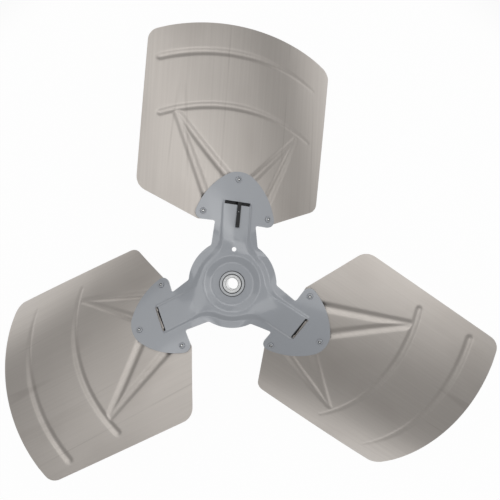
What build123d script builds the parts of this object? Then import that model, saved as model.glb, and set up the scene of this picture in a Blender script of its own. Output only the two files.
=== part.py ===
from build123d import *
import os
from math import atan2, cos, degrees, radians, sin, sqrt, tan

# A three-blade propeller fan: stamped aluminium blades riveted to a pressed steel spider on a turned hub.
# The fan axis is Z. The origin is on the axis, level with the underside of the spider's flat rim.
# The first arm points along +Y. The convex face of the blades and the spider face +Z.

# Whole fan
blade_count = 3
tip_radius = 279.4
blade_sheet = 1.3
spider_sheet = 2.0

# Blade placement: a cylinder of sheet, tangent to its pad at the pad centre
pad_radius = 86.0
pad_pitch = 22.0
pad_droop = 3.3
pad_yaw = -2.2
camber_radius = 246.5
camber_yaw = 15.7

# Blade outline, seen along the fan axis with the arm pointing up
near_edge_offset = 104.7
near_edge_lean = 1.6
far_edge_offset = 91.0
far_edge_lean = 2.9
edge_level = 168.0
root_setback = 19.0
root_half_width = 40.0
near_root_angle = 24.9
far_root_angle = 23.0
near_tip_fillet = 14.0
far_tip_fillet = 12.0
near_root_fillet = 16.0
far_root_fillet = 12.0

# Pressed grooves in each blade
bead_radius = 3.6
bead_depth = 1.8
rib_radius = 4.4
rib_depth = 2.4
bar_sides = 8
groove_runout = 9.0
groove_lift = 0.4

# Spider pressing
disc_radius = 47.0
arm_root_half = 24.7
arm_end_half = 22.6
neck_start = 43.0
neck_lap = 1.5
neck_inset = 0.1
plateau_height = 3.0
plateau_foot_radius = 40.0
plateau_slope_run = 6.0
plateau_strip_half = 17.0
plateau_fillet = 11.0
floor_radius = 20.0
floor_slope_run = 9.0
panel_end_half = 16.0
panel_end_height = 2.0
panel_end_slope_run = 2.5
locating_hole = 4.8
locating_radius = 36.8

# Pads
pad_half_width = 44.5
pad_tip = 34.0
pad_tip_half = 13.0
pad_tip_crown = 3.0
pad_side_bulge = 5.2
pad_heel = 21.2
pad_corner_rise = 8.5
pad_corner_fillet = 7.5
pad_gap = 0.05
slot_length = 29.0
slot_width = 3.2

# Rivets
rivet_spread = 36.4
rivet_heel = 12.4
rivet_tip = 25.6
rivet_tip_shift = 2.0
rivet_shank = 4.0
rivet_head = 6.6
rivet_head_height = 1.1
rivet_tail = 6.4
rivet_tail_height = 1.3
rivet_clearance = 0.05
rivet_sides = 12

# Hub
bore_diameter = 12.7
hub_neck_radius = 10.3
hub_collar_radius = 13.3
hub_collar_height = 1.6
hub_nose_height = 2.6
hub_barrel_radius = 14.3
hub_barrel_length = 24.0
hub_chamfer = 1.0
hub_clearance = 0.05
groove_width = 1.0
groove_sink = 0.9

# Set screw
screw_diameter = 7.9
screw_level = 13.0
screw_socket = 4.0
screw_socket_depth = 3.5
screw_clearance = 0.1
screw_angle = -90.0

# Balance clip
clip_width = 4.0
clip_sheet = 0.8
clip_reach = 26.0
clip_tail = 13.0
clip_shift = 1.0
clip_gap = 0.15
clip_hole = 1.6

# Values that follow
bore_radius = bore_diameter / 2
pad_drop = (pad_radius - neck_start) * tan(radians(pad_droop))
pad_place = (
    Pos(0, pad_radius, -pad_drop)
    * Rot(Z=pad_yaw)
    * Rot(X=-pad_droop)
    * Rot(Y=pad_pitch)
)
blade_place = pad_place * Rot(Z=camber_yaw)
pad_underside = camber_radius + pad_gap
neck_skin = (neck_inset, spider_sheet - neck_inset)
root_level = pad_radius - root_setback
arm_angles = [360 / blade_count * index for index in range(blade_count)]


def camber_height(chord, radius):
    """Height of the camber cylinder over its tangent plane, at a distance across the crown."""
    return sqrt(radius**2 - chord**2) - camber_radius


def pad_point(across, along, lift):
    """A point over the pad's underside, in the frame of the fan, from the pad's own axes."""
    chord = across * cos(radians(camber_yaw)) + along * sin(radians(camber_yaw))
    return (pad_place * Pos(across, along, camber_height(chord, pad_underside) + lift)).position


def cambered_sheet(outer_radius, thickness):
    """A wide strip of sheet on the camber cylinder, below the given radius, in the frame of the fan."""
    half_chord = 0.8 * camber_radius
    inner_radius = outer_radius - thickness

    def run(radius):
        return [(chord, camber_height(chord, radius)) for chord in (-half_chord, 0, half_chord)]

    outer = run(outer_radius)
    inner = run(inner_radius)
    edges = [
        ThreePointArc(*outer),
        Line(outer[2], inner[2]),
        ThreePointArc(*reversed(inner)),
        Line(inner[0], outer[0]),
    ]
    profile = Plane.XZ * make_face(Curve() + edges)
    return blade_place * extrude(profile, amount=tip_radius, both=True)


def blade_point(chord, span, lift):
    """A point above the blade's outer face, along its normal, in the frame of the fan."""
    scale = (camber_radius + lift) / camber_radius
    height = (camber_height(chord, camber_radius) + camber_radius) * scale - camber_radius
    return (blade_place * Pos(chord * scale, span, height)).position


def blade_outline():
    """The blade's outline in plan: two straight sides, a tip on the fan's circle and a blunt V root."""

    def near_x(level):
        return -near_edge_offset + (level - edge_level) * tan(radians(near_edge_lean))

    def far_x(level):
        return far_edge_offset + (level - edge_level) * tan(radians(far_edge_lean))

    near_slope = tan(radians(near_root_angle))
    far_slope = tan(radians(far_root_angle))
    near_lean = tan(radians(near_edge_lean))
    far_lean = tan(radians(far_edge_lean))
    near_level = (root_level + near_slope * (-near_x(0) - root_half_width)) / (1 + near_slope * near_lean)
    far_level = (root_level + far_slope * (far_x(0) - root_half_width)) / (1 - far_slope * far_lean)
    beyond = tip_radius + near_tip_fillet
    corners = [
        (-root_half_width, root_level),
        (near_x(near_level), near_level),
        (near_x(beyond), beyond),
        (far_x(beyond), beyond),
        (far_x(far_level), far_level),
        (root_half_width, root_level),
    ]
    outline = make_face(Polyline(*corners, close=True)) & Circle(tip_radius)

    def rounded(face, corner, radius):
        vertex = face.vertices().sort_by_distance(corner)[0]
        return fillet(vertex, radius)

    def tip_level(offset):
        return sqrt(tip_radius**2 - offset**2)

    outline = rounded(outline, (near_x(near_level), near_level, 0), near_root_fillet)
    outline = rounded(outline, (far_x(far_level), far_level, 0), far_root_fillet)
    outline = rounded(outline, (near_x(tip_radius), tip_level(near_x(tip_radius)), 0), near_tip_fillet)
    outline = rounded(outline, (far_x(tip_radius), tip_level(far_x(tip_radius)), 0), far_tip_fillet)
    return outline


# Each groove runs through three places on the blade, given as chord from the crown line, span from the
# pad centre, and the share of the groove's full depth that it has there.
beads = [
    [(-57.0, 164.2, 0.9), (42.0, 156.8, 1.0), (128.0, 120.0, 0.55)],
    [(-66.0, 106.6, 0.9), (30.0, 98.8, 1.0), (105.0, 58.5, 0.5)],
]
dart_ribs = [
    [(-32.5, 13.5, 1.0), (-41.2, 61.0, 0.8), (-48.4, 99.5, 0.45)],
    [(-5.4, 30.5, 1.0), (-27.6, 67.3, 0.8), (-45.5, 97.5, 0.45)],
    [(18.0, 20.9, 1.0), (55.5, 44.6, 0.8), (86.0, 63.8, 0.45)],
    [(33.6, -4.3, 1.0), (62.4, 32.4, 0.8), (85.0, 61.3, 0.45)],
]


def runout_point(inner, outer, lift):
    """The point past a groove's end at which its path has risen clear of the sheet."""
    run = Vector(outer[0] - inner[0], outer[1] - inner[1]).normalized() * groove_runout
    return blade_point(outer[0] + run.X, outer[1] + run.Y, lift)


def groove_bar(places, radius, depth, wall):
    """An eight-sided bar that dips into the sheet along an arc through three places and rises out at both ends."""
    start, middle, end = [blade_point(chord, span, radius - share * depth) for chord, span, share in places]
    clear = radius + groove_lift
    main = ThreePointArc(start, middle, end)
    head = TangentArc(start, runout_point(places[1], places[0], clear), tangent=-(main % 0))
    tail = TangentArc(end, runout_point(places[1], places[2], clear), tangent=main % 1)
    path = Wire([head, main, tail])
    upright = start - blade_point(places[0][0], places[0][1], -radius)
    section = RegularPolygon(radius + wall, bar_sides, major_radius=False, rotation=180 / bar_sides)
    return sweep(Plane(origin=path @ 0, x_dir=upright.cross(path % 0), z_dir=path % 0) * section, path=path)


def groove_bars(wall):
    """The bars of all grooves, each thicker than its groove by the wall."""
    bars = [groove_bar(places, bead_radius, bead_depth, wall) for places in beads]
    return bars + [groove_bar(places, rib_radius, rib_depth, wall) for places in dart_ribs]


def rivet_places():
    """Places of the pad's three rivets on its own axes."""
    return [
        (-rivet_spread, -rivet_heel),
        (-rivet_tip_shift, rivet_tip),
        (rivet_spread, -rivet_heel),
    ]


def rivet_frame(across, along):
    """A frame on the blade's outer face at a rivet, with Z along the sheet's normal."""
    chord = across * cos(radians(camber_yaw)) + along * sin(radians(camber_yaw))
    span = along * cos(radians(camber_yaw)) - across * sin(radians(camber_yaw))
    tilt = degrees(atan2(chord, camber_height(chord, camber_radius) + camber_radius))
    return blade_place * Pos(chord, span, camber_height(chord, camber_radius)) * Rot(Y=tilt)


def rivet_prism(radius, bottom, top):
    """A length of rivet between two levels on its own axis, with few sides because there are many rivets."""
    return Pos(0, 0, bottom) * extrude(RegularPolygon(radius, rivet_sides), amount=top - bottom)


def rivet_holes():
    """Clearance holes through pad and blade."""
    radius = rivet_shank / 2 + rivet_clearance
    depth = 3 * (spider_sheet + blade_sheet)
    return [rivet_frame(*place) * rivet_prism(radius, -depth, depth) for place in rivet_places()]


def make_blade():
    """One blade: cambered sheet, trimmed to its outline, with two beads and two darts pressed in."""
    prism = Pos(0, 0, -tip_radius) * extrude(blade_outline(), amount=2 * tip_radius)
    sheet = cambered_sheet(camber_radius, blade_sheet) & prism
    below = cambered_sheet(camber_radius, 4 * rib_radius)
    for back in groove_bars(blade_sheet):
        sheet = sheet + (back & below)
    for front in groove_bars(0):
        sheet = sheet - front
    return sheet - rivet_holes()


def pad_outline():
    """A rounded triangle with bowed sides and a straight heel, on the pad's own axes."""
    shoulder = (pad_tip_half, pad_tip - pad_tip_crown)
    corner = (pad_half_width, pad_corner_rise - pad_heel)
    middle = ((shoulder[0] + corner[0]) / 2, (shoulder[1] + corner[1]) / 2)
    length = sqrt((corner[0] - shoulder[0]) ** 2 + (corner[1] - shoulder[1]) ** 2)
    outward = ((shoulder[1] - corner[1]) / length, (corner[0] - shoulder[0]) / length)
    bulge = (middle[0] + pad_side_bulge * outward[0], middle[1] + pad_side_bulge * outward[1])

    def mirrored(point):
        return (-point[0], point[1])

    heel = (pad_half_width, -pad_heel)
    edges = [
        Line(mirrored(heel), heel),
        Line(heel, corner),
        ThreePointArc(corner, bulge, shoulder),
        ThreePointArc(shoulder, (0, pad_tip), mirrored(shoulder)),
        ThreePointArc(mirrored(shoulder), mirrored(bulge), mirrored(corner)),
        Line(mirrored(corner), mirrored(heel)),
    ]
    face = make_face(Curve() + edges)
    heels = face.vertices().group_by(Axis.Y)[0]
    return fillet(heels, pad_corner_fillet)


def flat_section(level):
    """The neck's section where it leaves the flat rim."""
    half = arm_root_half - neck_inset
    corners = [(-half, neck_skin[0]), (half, neck_skin[0]), (half, neck_skin[1]), (-half, neck_skin[1])]
    return make_face(Polyline(*[Vector(x, level, z) for x, z in corners], close=True))


def pad_section(along):
    """The neck's section on the cambered pad."""

    def run(lift):
        return [pad_point(across, along, lift) for across in (-arm_end_half, 0, arm_end_half)]

    lower, upper = [run(lift) for lift in neck_skin]
    edges = [
        ThreePointArc(*lower),
        Line(lower[2], upper[2]),
        ThreePointArc(*reversed(upper)),
        Line(upper[0], lower[0]),
    ]
    return make_face(Curve() + edges)


def neck_sheet():
    """The twisted neck from the flat rim to the pitched pad."""
    return loft([flat_section(neck_start - neck_lap), pad_section(neck_lap - pad_heel)], ruled=True)


def panel_face(point_at, foot, slope_run, height, base):
    """A hat section of the raised panel, from a function that gives a point across the sheet at a height."""
    top = foot - slope_run
    skirt = base - spider_sheet / 4
    corners = [
        point_at(-foot, skirt),
        point_at(-foot, base),
        point_at(-top, base + height),
        point_at(top, base + height),
        point_at(foot, base),
        point_at(foot, skirt),
    ]
    return make_face(Polyline(*corners, close=True))


def raised_panel(base):
    """The panel pressed up along the neck, from the plateau of the disc to the slot in the pad."""

    def flat_face(level):
        def point_at(across, lift):
            return Vector(across, level, lift)

        return panel_face(point_at, plateau_strip_half, plateau_slope_run, plateau_height, base)

    def pad_face(along):
        def point_at(across, lift):
            return pad_point(across, along, lift)

        return panel_face(point_at, panel_end_half, panel_end_slope_run, panel_end_height, base)

    return loft([flat_face(neck_start - neck_lap), pad_face(neck_lap - pad_heel), pad_face(0)], ruled=True)


def disc_plateau(base):
    """The raised ring of the disc with the start of a panel on each arm, round the sunken floor."""
    reach = neck_start + plateau_slope_run
    strips = [
        Rot(Z=angle) * Pos(0, reach / 2) * Rectangle(2 * plateau_strip_half, reach) for angle in arm_angles
    ]
    region = Circle(plateau_foot_radius) + strips
    inner_corners = region.vertices().filter_by(lambda v: abs(v.center().length - plateau_foot_radius) < 0.01)
    region = fillet(inner_corners, plateau_fillet)
    taper = degrees(atan2(plateau_slope_run, plateau_height))
    block = extrude(region, amount=plateau_height, taper=taper)
    block = block & extrude(arm_star(neck_start), amount=plateau_height)
    well = Pos(0, 0, plateau_height / 2) * Cone(floor_radius, floor_radius + floor_slope_run, plateau_height)
    return Pos(0, 0, base) * (block - well)


def arm_star(reach):
    """The flat outline of the disc with its three arm roots."""
    arms = [Rot(Z=angle) * Pos(0, reach / 2) * Rectangle(2 * arm_root_half, reach) for angle in arm_angles]
    return Circle(disc_radius) + arms


def make_spider():
    """The pressed spider: flat rim, raised ring, sunken floor, three twisted necks and three pitched pads."""
    plate = extrude(arm_star(neck_start), amount=spider_sheet)
    body = plate + disc_plateau(spider_sheet) - disc_plateau(0)
    pad_prism = pad_place * Pos(0, 0, -pad_tip) * extrude(pad_outline(), amount=2 * pad_tip)
    pad = cambered_sheet(pad_underside + spider_sheet, spider_sheet) & pad_prism
    arm = pad + neck_sheet()
    arm = arm + raised_panel(neck_skin[1]) - raised_panel(neck_skin[0])
    slot = extrude(Rectangle(slot_length, slot_width), amount=pad_tip, both=True)
    arm = arm - pad_place * slot - rivet_holes()
    for angle in arm_angles:
        body = body + Rot(Z=angle) * arm
    centre_hole = Cylinder(hub_neck_radius + hub_clearance, 4 * spider_sheet)
    locator = Pos(0, locating_radius) * Cylinder(locating_hole / 2, 8 * plateau_height)
    return body - centre_hole - locator


def make_rivet():
    """One rivet: set head on the pad, shank, and a flat tail under the blade."""
    tail_top = -blade_sheet - rivet_clearance
    head_base = pad_gap + spider_sheet + 2 * rivet_clearance
    tail = rivet_prism(rivet_tail / 2, tail_top - rivet_tail_height, tail_top)
    shank = rivet_prism(rivet_shank / 2, tail_top, head_base)
    head = rivet_prism(rivet_head / 2, head_base, head_base + rivet_head_height)
    return tail + shank + head


def make_rivets():
    """All rivets of the fan, three to a pad."""
    rivet = make_rivet()
    return [
        Rot(Z=angle) * rivet_frame(*place) * rivet
        for angle in arm_angles
        for place in rivet_places()
    ]


def screw_place():
    """The frame of the set screw, on the hub's axis at its level, with Z pointing out."""
    return Rot(Z=screw_angle) * Pos(0, 0, -screw_level) * Rot(Y=90)


def make_hub():
    """The turned hub: barrel under the floor, neck through it, collar staked over it and a grooved nose."""
    floor_top = spider_sheet + hub_clearance
    collar_top = floor_top + hub_collar_height
    nose_top = floor_top + hub_nose_height
    nose_radius = hub_neck_radius - groove_width / 2
    profile = Polyline(
        (bore_radius, -hub_barrel_length),
        (hub_barrel_radius, -hub_barrel_length),
        (hub_barrel_radius, -hub_clearance),
        (hub_neck_radius, -hub_clearance),
        (hub_neck_radius, floor_top),
        (hub_collar_radius, floor_top),
        (hub_collar_radius, collar_top),
        (nose_radius + groove_width, collar_top),
        (nose_radius + groove_width, collar_top - groove_sink),
        (nose_radius, collar_top - groove_sink),
        (nose_radius, nose_top),
        (bore_radius + hub_chamfer, nose_top),
        (bore_radius, nose_top - hub_chamfer),
        close=True,
    )
    body = revolve(Plane.XZ * make_face(profile), Axis.Z)
    tapped = Cylinder(
        screw_diameter / 2 + screw_clearance,
        2 * hub_barrel_radius,
        align=(Align.CENTER, Align.CENTER, Align.MIN),
    )
    return body - screw_place() * tapped


def make_set_screw():
    """A headless socket screw between the bore and the barrel's face."""
    tip = bore_radius + screw_clearance
    length = hub_barrel_radius - tip - screw_clearance
    body = Cylinder(screw_diameter / 2, length, align=(Align.CENTER, Align.CENTER, Align.MIN))
    across_corners = screw_socket / cos(radians(30)) / 2
    socket = Pos(0, 0, length - screw_socket_depth) * extrude(
        RegularPolygon(across_corners, 6), amount=screw_socket_depth
    )
    return screw_place() * Pos(0, 0, tip) * (body - socket)


def make_balance_clip():
    """A spring strip hooked over the slot's inner rim: a long leg on the panel and a short one under it."""
    panel_sag = pad_gap - camber_height(panel_end_half, pad_underside)
    lower_top = panel_end_height - panel_sag - clip_gap
    lower = lower_top - clip_sheet
    upper = panel_end_height + spider_sheet + clip_gap
    rise = plateau_height - panel_end_height
    bend = slot_width / 2 - clip_gap - clip_sheet
    profile = Polyline(
        (-clip_tail, lower),
        (bend + clip_sheet, lower),
        (bend + clip_sheet, upper + clip_sheet),
        (-clip_reach, upper + clip_sheet + rise),
        (-clip_reach, upper + rise),
        (bend, upper),
        (bend, lower_top),
        (-clip_tail, lower_top),
        close=True,
    )
    strip = extrude(Plane.YZ * make_face(profile), amount=clip_width / 2, both=True)
    bends = strip.edges().filter_by(Axis.X).sort_by(Axis.Y)[-2:]
    strip = fillet(bends, clip_sheet / 2)
    hole = Pos(0, -0.35 * clip_reach, upper) * Cylinder(clip_hole / 2, 2 * (rise + clip_sheet))
    lift = camber_height(0, pad_underside)
    return pad_place * Pos(clip_shift, 0, lift) * (strip - hole)


os.makedirs("parts", exist_ok=True)
blade = make_blade()
for index, angle in enumerate(arm_angles):
    export_step(Rot(Z=angle) * blade, f"parts/blade_{index + 1}.step")
export_step(make_spider(), "parts/spider.step")
export_step(Compound(children=make_rivets()), "parts/rivets.step")
export_step(make_hub(), "parts/hub.step")
export_step(make_set_screw(), "parts/set_screw.step")
export_step(make_balance_clip(), "parts/balance_clip.step")
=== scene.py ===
import logging
import math
from dataclasses import dataclass
from enum import Enum
from typing import Any, Callable

import bmesh
import bpy
import numpy as np
from mathutils import Euler, Matrix, Vector


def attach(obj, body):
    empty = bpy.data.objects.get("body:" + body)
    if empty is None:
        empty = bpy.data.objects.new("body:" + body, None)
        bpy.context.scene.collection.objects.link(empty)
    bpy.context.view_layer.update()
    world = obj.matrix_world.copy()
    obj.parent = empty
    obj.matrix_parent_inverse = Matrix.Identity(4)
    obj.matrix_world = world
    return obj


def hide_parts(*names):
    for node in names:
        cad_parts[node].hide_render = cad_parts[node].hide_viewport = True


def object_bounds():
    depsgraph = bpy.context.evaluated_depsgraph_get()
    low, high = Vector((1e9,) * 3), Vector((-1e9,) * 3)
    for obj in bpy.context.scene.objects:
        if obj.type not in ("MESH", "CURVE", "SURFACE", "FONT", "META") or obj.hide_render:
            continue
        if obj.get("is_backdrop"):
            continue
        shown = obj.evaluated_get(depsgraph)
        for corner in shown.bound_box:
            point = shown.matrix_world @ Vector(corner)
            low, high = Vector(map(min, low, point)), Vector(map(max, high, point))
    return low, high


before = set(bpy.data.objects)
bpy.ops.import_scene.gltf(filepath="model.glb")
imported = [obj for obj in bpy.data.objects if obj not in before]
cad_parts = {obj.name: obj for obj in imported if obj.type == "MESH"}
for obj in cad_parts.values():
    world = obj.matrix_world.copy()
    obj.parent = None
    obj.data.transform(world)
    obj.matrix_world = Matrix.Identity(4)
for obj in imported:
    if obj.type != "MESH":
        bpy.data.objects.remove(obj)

LOG = logging.getLogger("propeller_fan")
CAD_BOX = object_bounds()
MM = 0.001
BODY = "root"
ARM_STEP = 120.0
ARM_ANGLES = (0.0, ARM_STEP, 2.0 * ARM_STEP)
FULL_TURN = 2.0 * math.pi
AXIS = np.zeros(2)
SHEET_UV = "sheet"
UV_MM = 100.0
WHITE = (1.0, 1.0, 1.0, 1.0)
# Nearly all of a noise lies between these values, round its middle.
NOISE_LOW, NOISE_MIDDLE, NOISE_HIGH = 0.3, 0.5, 0.7
# A wave texture of scale 1 repeats its rings at this distance.
WAVE_PERIOD = math.pi / 10.0
# A mix node has sockets for every kind of value. These are the factor and the colours.
MIX_FACTOR, MIX_UNDER, MIX_OVER, MIX_RESULT = 0, 6, 7, 2
# The rest are lengths in millimetres, apart from the count of steps to a fillet's radius.
SHORTEST_RUN = 1e-6
SEAM_GAP = 1e-4
SLIVER = 0.01
HOLE_STEP = 0.5
FILLET_STEPS = 8.0

PressForm = Callable[[np.ndarray], np.ndarray]
Triple = tuple[float, float, float]


def linear_colour(code: str) -> tuple[float, float, float, float]:
    """Turns an sRGB hex code into a linear colour.

    Args:
        code: The colour as "#rrggbb".

    Returns:
        Red, green, blue and alpha, in linear light.
    """
    channels = [int(code[start:start + 2], 16) / 255.0 for start in (1, 3, 5)]
    linear = [c / 12.92 if c <= 0.04045 else ((c + 0.055) / 1.055) ** 2.4 for c in channels]
    return (linear[0], linear[1], linear[2], 1.0)


def add_node(
    tree: bpy.types.NodeTree, kind: str, inputs: dict[Any, Any] | None = None, **settings: Any
) -> bpy.types.Node:
    """Adds a node, sets its properties and fills or links its inputs.

    Args:
        tree: The node tree that gets the node.
        kind: The name of the node's type.
        inputs: Values or output sockets, by input name or number.
        **settings: Properties of the node.

    Returns:
        The new node.
    """
    node = tree.nodes.new(kind)
    for name, value in settings.items():
        setattr(node, name, value)
    for key, value in (inputs or {}).items():
        if isinstance(value, bpy.types.NodeSocket):
            tree.links.new(value, node.inputs[key])
        else:
            node.inputs[key].default_value = value
    return node


def new_material(name: str) -> tuple[bpy.types.Material, bpy.types.NodeTree]:
    """Makes an empty node material.

    Args:
        name: The material's name.

    Returns:
        The material and its node tree.
    """
    material = bpy.data.materials.new(name)
    material.use_nodes = True
    material.node_tree.nodes.clear()
    return material, material.node_tree


def smooth_ramp(value: np.ndarray, low: Any, high: Any) -> np.ndarray:
    """Rises smoothly from 0 to 1.

    Args:
        value: Where to read the ramp.
        low: Where the ramp leaves 0.
        high: Where the ramp reaches 1.

    Returns:
        The height of the ramp at each value.
    """
    share = np.clip((value - low) / (high - low), 0.0, 1.0)
    return share * share * (3.0 - 2.0 * share)


def pressed_ramp(value: np.ndarray, low: Any, high: Any, ease: float = 0.22) -> np.ndarray:
    """Rises from 0 to 1 as a press tool leaves sheet: a straight slope with a bend at each end.

    Args:
        value: Where to read the ramp.
        low: Where the ramp leaves 0.
        high: Where the ramp reaches 1.
        ease: The share of the ramp that each bend takes.

    Returns:
        The height of the ramp at each value.
    """
    share = np.clip((value - low) / (high - low), 0.0, 1.0)
    slope = 1.0 / (1.0 - ease)
    rising = slope * np.where(share < ease, share ** 2 / (2.0 * ease), share - ease / 2.0)
    settling = 1.0 - slope * (1.0 - share) ** 2 / (2.0 * ease)
    return np.where(share > 1.0 - ease, settling, rising)


def smooth_union(first: np.ndarray, second: np.ndarray, reach: float) -> np.ndarray:
    """Joins two depths inside a shape with a fillet between them.

    Args:
        first: Depth inside the first shape.
        second: Depth inside the second shape.
        reach: How far apart the two may be and still blend.

    Returns:
        Depth inside the joined shape.
    """
    share = np.clip(0.5 + 0.5 * (first - second) / reach, 0.0, 1.0)
    return second + (first - second) * share + reach * share * (1.0 - share)


def nearest_on_path(
    points: np.ndarray, path: np.ndarray
) -> tuple[np.ndarray, np.ndarray, np.ndarray]:
    """Finds the nearest place on a path of straight runs.

    Args:
        points: Places in the plane, one to a row.
        path: The corners of the path in order.

    Returns:
        The distance to the path, the nearest place on it, and how far along it that is, from
        0 to 1.
    """
    best = np.full(len(points), np.inf)
    place = np.zeros_like(points)
    along = np.zeros(len(points))
    runs = len(path) - 1
    for index in range(runs):
        start, step = path[index], path[index + 1] - path[index]
        square = max(step @ step, SHORTEST_RUN ** 2)
        share = np.clip((points - start) @ step / square, 0.0, 1.0)
        foot = start + share[:, None] * step
        gap = np.hypot(*(points - foot).T)
        closer = gap < best
        best[closer] = gap[closer]
        place[closer] = foot[closer]
        along[closer] = (index + share[closer]) / runs
    return best, place, along


def inside_outline(points: np.ndarray, outline: np.ndarray) -> np.ndarray:
    """Says which places lie inside a closed outline.

    Args:
        points: Places in the plane, one to a row.
        outline: The outline's corners, with the first repeated at the end.

    Returns:
        True for each place inside.
    """
    x, y = points.T
    inside = np.zeros(len(points), bool)
    for start, end in zip(outline[:-1], outline[1:]):
        if start[1] == end[1]:
            continue
        crosses = (start[1] > y) != (end[1] > y)
        reach = start[0] + (y - start[1]) * (end[0] - start[0]) / (end[1] - start[1])
        inside ^= crosses & (x < reach)
    return inside


def arc_points(
    centre: np.ndarray, radius: float, start: float, end: float, step: float
) -> np.ndarray:
    """Lists places along an arc.

    Args:
        centre: The arc's centre.
        radius: The arc's radius.
        start: Angle of the first place, in radians.
        end: Angle of the last place, in radians.
        step: Longest distance between places.

    Returns:
        The places in order, one to a row.
    """
    count = max(2, math.ceil(abs(end - start) * radius / step) + 1)
    angles = np.linspace(start, end, count)
    return centre + radius * np.column_stack((np.cos(angles), np.sin(angles)))


def rounded_corner(
    before: np.ndarray, corner: np.ndarray, after: np.ndarray, radius: float
) -> np.ndarray:
    """Rounds one corner of an outline.

    Args:
        before: A place on the side that comes before.
        corner: The corner.
        after: A place on the side that comes after.
        radius: The radius of the rounding.

    Returns:
        The places of the arc in order, one to a row.
    """
    inward = (before - corner) / np.hypot(*(before - corner))
    onward = (after - corner) / np.hypot(*(after - corner))
    half = math.acos(np.clip(inward @ onward, -1.0, 1.0)) / 2.0
    middle = (inward + onward) / np.hypot(*(inward + onward))
    centre = corner + middle * radius / math.sin(half)
    run = radius / math.tan(half)
    first, last = corner + inward * run - centre, corner + onward * run - centre
    start, end = math.atan2(first[1], first[0]), math.atan2(last[1], last[0])
    end = start + (end - start + math.pi) % FULL_TURN - math.pi
    return arc_points(centre, radius, start, end, step=radius / FILLET_STEPS)


def arc_through(places: np.ndarray, count: int) -> np.ndarray:
    """Lists places along the arc through three places.

    Args:
        places: The first, middle and last place, one to a row.
        count: How many places to list.

    Returns:
        The places in order, one to a row.
    """
    (ax, ay), (bx, by), (cx, cy) = places
    double = 2.0 * (ax * (by - cy) + bx * (cy - ay) + cx * (ay - by))
    squares = (places ** 2).sum(axis=1)
    centre = np.array([
        (squares @ np.array([by - cy, cy - ay, ay - by])) / double,
        (squares @ np.array([cx - bx, ax - cx, bx - ax])) / double,
    ])
    spokes = places - centre
    angles = np.unwrap(np.arctan2(spokes[:, 1], spokes[:, 0]))
    turn = np.linspace(angles[0], angles[2], count)
    return centre + np.hypot(*spokes[0]) * np.column_stack((np.cos(turn), np.sin(turn)))


def turned(points: np.ndarray, degrees: float) -> np.ndarray:
    """Turns places about the fan axis.

    Args:
        points: Places in the plane or in space, one to a row.
        degrees: The turn, counter-clockwise from above.

    Returns:
        The turned places.
    """
    angle = math.radians(degrees)
    result = np.array(points, float)
    result[:, 0] = points[:, 0] * math.cos(angle) - points[:, 1] * math.sin(angle)
    result[:, 1] = points[:, 0] * math.sin(angle) + points[:, 1] * math.cos(angle)
    return result


def in_frame(points: np.ndarray, place: np.ndarray) -> np.ndarray:
    """Reads places on the axes of a frame.

    Args:
        points: Places on the fan, one to a row.
        place: The frame's place on the fan, as a matrix.

    Returns:
        The places on the frame's own axes, one to a row.
    """
    inverse = np.linalg.inv(place)
    return points @ inverse[:3, :3].T + inverse[:3, 3]


def mark_sharp(shell: bmesh.types.BMesh, limit: float) -> None:
    """Shades a mesh smooth, apart from edges that turn by more than a limit.

    Args:
        shell: The mesh.
        limit: The turn, in degrees.
    """
    shell.normal_update()
    for face in shell.faces:
        face.smooth = True
    for edge in shell.edges:
        edge.smooth = edge.calc_face_angle(0.0) < math.radians(limit)


def keep_mesh(name: str, shell: bmesh.types.BMesh) -> bpy.types.Mesh:
    """Turns a working mesh into mesh data.

    Args:
        name: The data's name.
        shell: The working mesh, which is freed.

    Returns:
        The mesh data.
    """
    mesh = bpy.data.meshes.new(name)
    shell.to_mesh(mesh)
    shell.free()
    return mesh


def link_object(name: str, data: bpy.types.ID) -> bpy.types.Object:
    """Puts a mesh, a lamp or a camera into the scene.

    Args:
        name: The object's name.
        data: The mesh, lamp or camera.

    Returns:
        The object, at the origin.
    """
    thing = bpy.data.objects.new(name, data)
    bpy.context.scene.collection.objects.link(thing)
    return thing


def finish_piece(
    name: str, shell: bmesh.types.BMesh, materials: list[bpy.types.Material], node: str
) -> None:
    """Turns a mesh in millimetres into a piece of the fan that stands for a CAD node.

    Args:
        name: The piece's name.
        shell: The mesh, in millimetres, which is freed.
        materials: The piece's materials, in the order of its faces' material numbers.
        node: The CAD node that the piece replaces.
    """
    bmesh.ops.scale(shell, vec=(MM, MM, MM), verts=shell.verts)
    mesh = keep_mesh(name, shell)
    for material in materials:
        mesh.materials.append(material)
    piece = link_object(name, mesh)
    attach(piece, BODY)
    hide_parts(node)
    LOG.info("%s: %d faces in %s", name, len(mesh.polygons), materials[0].name)


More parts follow.
